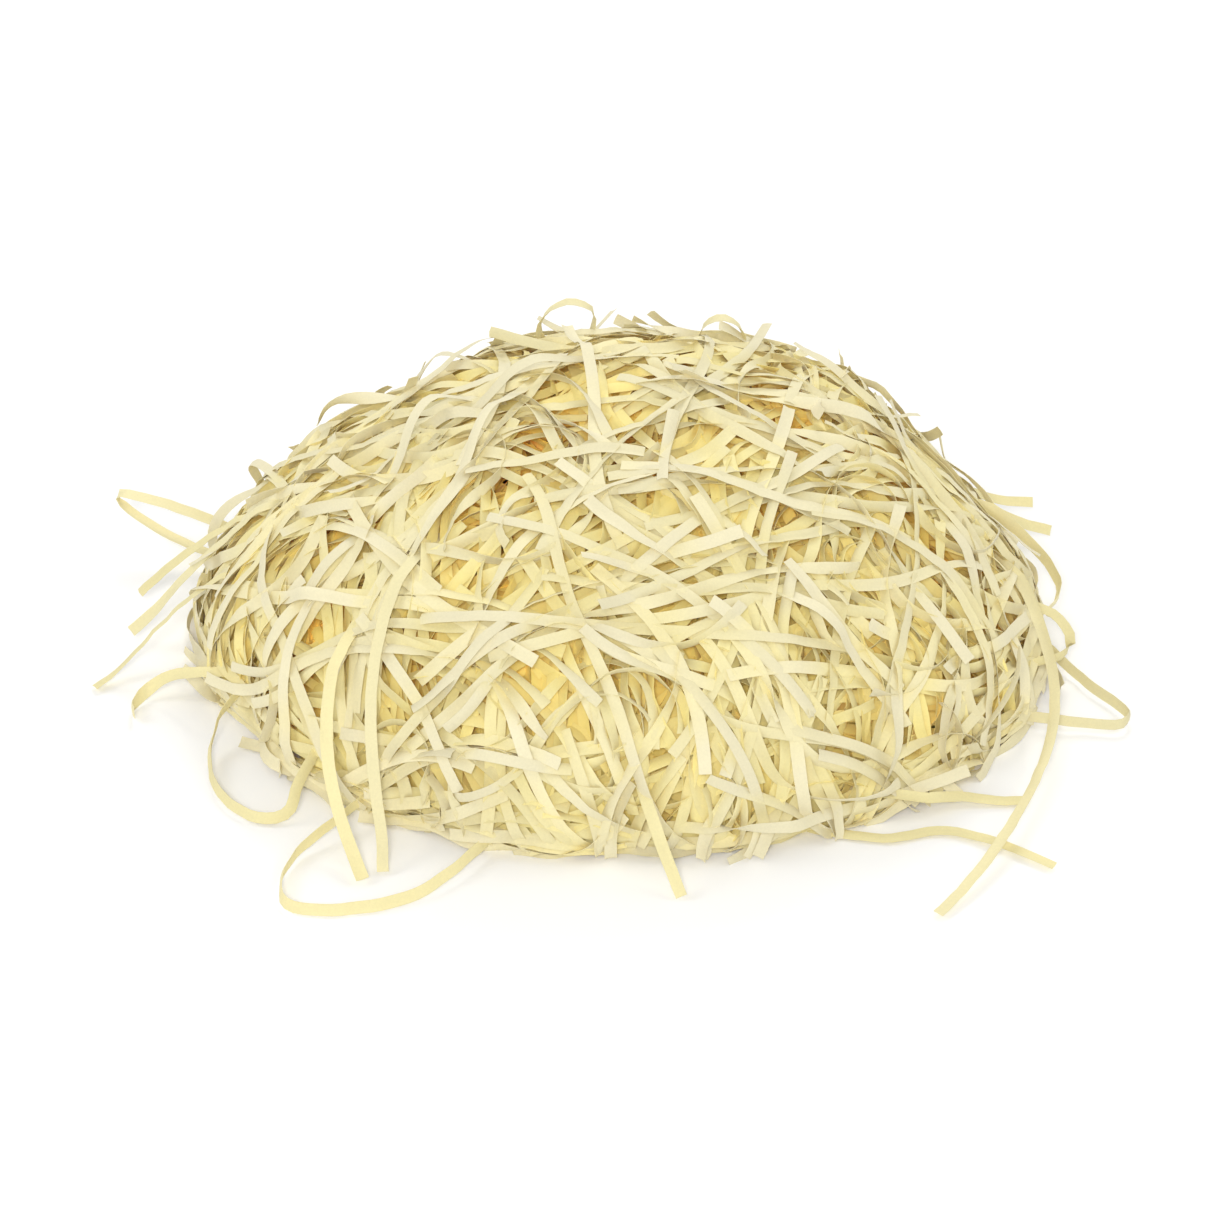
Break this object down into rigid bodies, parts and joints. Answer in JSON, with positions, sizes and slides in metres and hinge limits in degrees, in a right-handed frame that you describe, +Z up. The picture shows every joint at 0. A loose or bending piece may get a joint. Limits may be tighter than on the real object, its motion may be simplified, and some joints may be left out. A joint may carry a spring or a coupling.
{
  "type": "shredded paper basket filler",
  "caption": "Loose mound of cream shredded tissue paper, the grass that lines an easter basket, with free loops and ends that flex where they leave the mound.",
  "frame": {"origin": "middle of the mound's footprint, on the surface that it stands on", "axes": "+X to the right along the longest extent, +Y to the back, +Z up"},
  "size_m": [0.2865, 0.2223, 0.0781],
  "materials": {
    "packed_paper": "matte",
    "inner_paper": "matte",
    "ivory_paper": "matte",
    "pale_paper": "matte"
  },
  "bodies": {
    "mound": {"packed_tangle": "packed_paper", "lower_foot_shreds": "inner_paper", "upper_foot_shreds": "inner_paper", "right_drape_shreds": "inner_paper", "back_drape_shreds": "inner_paper", "left_drape_shreds": "inner_paper", "front_drape_shreds": "inner_paper", "right_slant_shreds": "ivory_paper", "back_slant_shreds": "ivory_paper", "left_slant_shreds": "ivory_paper", "front_slant_shreds": "ivory_paper", "right_counter_slant_shreds": "ivory_paper", "back_counter_slant_shreds": "ivory_paper", "left_counter_slant_shreds": "ivory_paper", "front_counter_slant_shreds": "ivory_paper", "lower_crown_shreds": "ivory_paper", "upper_crown_shreds": "pale_paper", "front_left_curl": "ivory_paper", "front_left_straight_end": "pale_paper", "front_wisp": "ivory_paper", "front_right_table_end": "ivory_paper", "front_right_low_end": "ivory_paper", "right_arc": "pale_paper", "right_small_loop": "ivory_paper"},
    "top_left_loop": {"top_left_loop": "pale_paper"},
    "top_right_loop": {"top_right_loop": "pale_paper"},
    "top_left_end": {"top_left_end": "pale_paper"},
    "left_hairpin_loop": {"left_hairpin_loop": "pale_paper"},
    "left_upper_end": {"left_upper_end": "ivory_paper"},
    "left_broad_end": {"left_broad_end": "pale_paper"},
    "left_low_end": {"left_low_end": "ivory_paper"},
    "left_curled_end": {"left_curled_end": "ivory_paper"},
    "front_left_table_loop": {"front_left_table_loop": "ivory_paper"},
    "front_left_slanting_end": {"front_left_slanting_end": "ivory_paper"},
    "front_right_long_end": {"front_right_long_end": "pale_paper"},
    "right_upper_end": {"right_upper_end": "ivory_paper"},
    "right_lower_end": {"right_lower_end": "ivory_paper"},
    "right_folded_shred": {"right_folded_shred": "pale_paper"},
    "back_left_loop": {"back_left_loop": "ivory_paper"},
    "back_right_end": {"back_right_end": "ivory_paper"}
  },
  "joints": [
    {"name": "top_left_loop_flex", "type": "hinge", "parent": "mound", "child": "top_left_loop", "pos_m": [-0.0217, 0.0543, 0.0646], "axis": [0.9916, -0.0281, 0.1262], "range_deg": [-20, 20], "stiffness_Nm_per_rad": 0.00002},
    {"name": "top_right_loop_flex", "type": "hinge", "parent": "mound", "child": "top_right_loop", "pos_m": [0.0225, 0.0505, 0.066], "axis": [0.9867, -0.1195, -0.1098], "range_deg": [-20, 20], "stiffness_Nm_per_rad": 0.00002},
    {"name": "top_left_end_flex", "type": "hinge", "parent": "mound", "child": "top_left_end", "pos_m": [-0.0094, 0.035, 0.074], "axis": [0.4607, 0.8875, 0], "range_deg": [-4, 25], "stiffness_Nm_per_rad": 0.00002},
    {"name": "left_hairpin_loop_flex", "type": "hinge", "parent": "mound", "child": "left_hairpin_loop", "pos_m": [-0.111, 0.0396, 0.009], "axis": [0.1958, 0.9806, 0], "range_deg": [-8, 25], "stiffness_Nm_per_rad": 0.00002},
    {"name": "left_upper_end_flex", "type": "hinge", "parent": "mound", "child": "left_upper_end", "pos_m": [-0.105, 0.0143, 0.0322], "axis": [-0.1306, 0.9914, 0], "range_deg": [-4, 25], "stiffness_Nm_per_rad": 0.00002},
    {"name": "left_broad_end_flex", "type": "hinge", "parent": "mound", "child": "left_broad_end", "pos_m": [-0.0993, 0.006, 0.0417], "axis": [-0.2659, 0.964, 0], "range_deg": [-4, 25], "stiffness_Nm_per_rad": 0.00002},
    {"name": "left_low_end_flex", "type": "hinge", "parent": "mound", "child": "left_low_end", "pos_m": [-0.1092, -0.0082, 0.0285], "axis": [-0.3748, 0.9271, 0], "range_deg": [0, 25], "stiffness_Nm_per_rad": 0.00002},
    {"name": "left_curled_end_flex", "type": "hinge", "parent": "mound", "child": "left_curled_end", "pos_m": [-0.1132, -0.0298, 0.0123], "axis": [-0.0758, 0.9971, 0], "range_deg": [0, 20], "stiffness_Nm_per_rad": 0.00002},
    {"name": "front_left_table_loop_flex", "type": "hinge", "parent": "mound", "child": "front_left_table_loop", "pos_m": [-0.0737, -0.0827, 0.0058], "axis": [-0.8223, 0.5691, 0], "range_deg": [0, 20], "stiffness_Nm_per_rad": 0.00002},
    {"name": "front_left_slanting_end_flex", "type": "hinge", "parent": "mound", "child": "front_left_slanting_end", "pos_m": [-0.0745, -0.0622, 0.0401], "axis": [-0.9787, -0.2053, 0], "range_deg": [0, 20], "stiffness_Nm_per_rad": 0.00002},
    {"name": "front_right_long_end_flex", "type": "hinge", "parent": "mound", "child": "front_right_long_end", "pos_m": [0.1113, -0.005, 0.026], "axis": [-0.996, 0.0899, 0], "range_deg": [0, 15], "stiffness_Nm_per_rad": 0.00002},
    {"name": "right_upper_end_flex", "type": "hinge", "parent": "mound", "child": "right_upper_end", "pos_m": [0.1011, 0.0502, 0.0159], "axis": [0.0814, -0.9967, 0], "range_deg": [-8, 25], "stiffness_Nm_per_rad": 0.00002},
    {"name": "right_lower_end_flex", "type": "hinge", "parent": "mound", "child": "right_lower_end", "pos_m": [0.1066, 0.0398, 0.0171], "axis": [0.1263, -0.992, 0], "range_deg": [-6, 25], "stiffness_Nm_per_rad": 0.00002},
    {"name": "right_folded_shred_flex", "type": "hinge", "parent": "mound", "child": "right_folded_shred", "pos_m": [0.1208, -0.01, 0.0048], "axis": [-0.8328, -0.5535, 0], "range_deg": [0, 12], "stiffness_Nm_per_rad": 0.00002},
    {"name": "back_left_loop_flex", "type": "hinge", "parent": "mound", "child": "back_left_loop", "pos_m": [-0.0627, 0.0864, 0.0136], "axis": [0.9979, -0.0649, 0], "range_deg": [-8, 20], "stiffness_Nm_per_rad": 0.00002},
    {"name": "back_right_end_flex", "type": "hinge", "parent": "mound", "child": "back_right_end", "pos_m": [0.038, 0.0897, 0.0258], "axis": [0.6384, -0.7697, 0], "range_deg": [0, 20], "stiffness_Nm_per_rad": 0.00002}
  ]
}
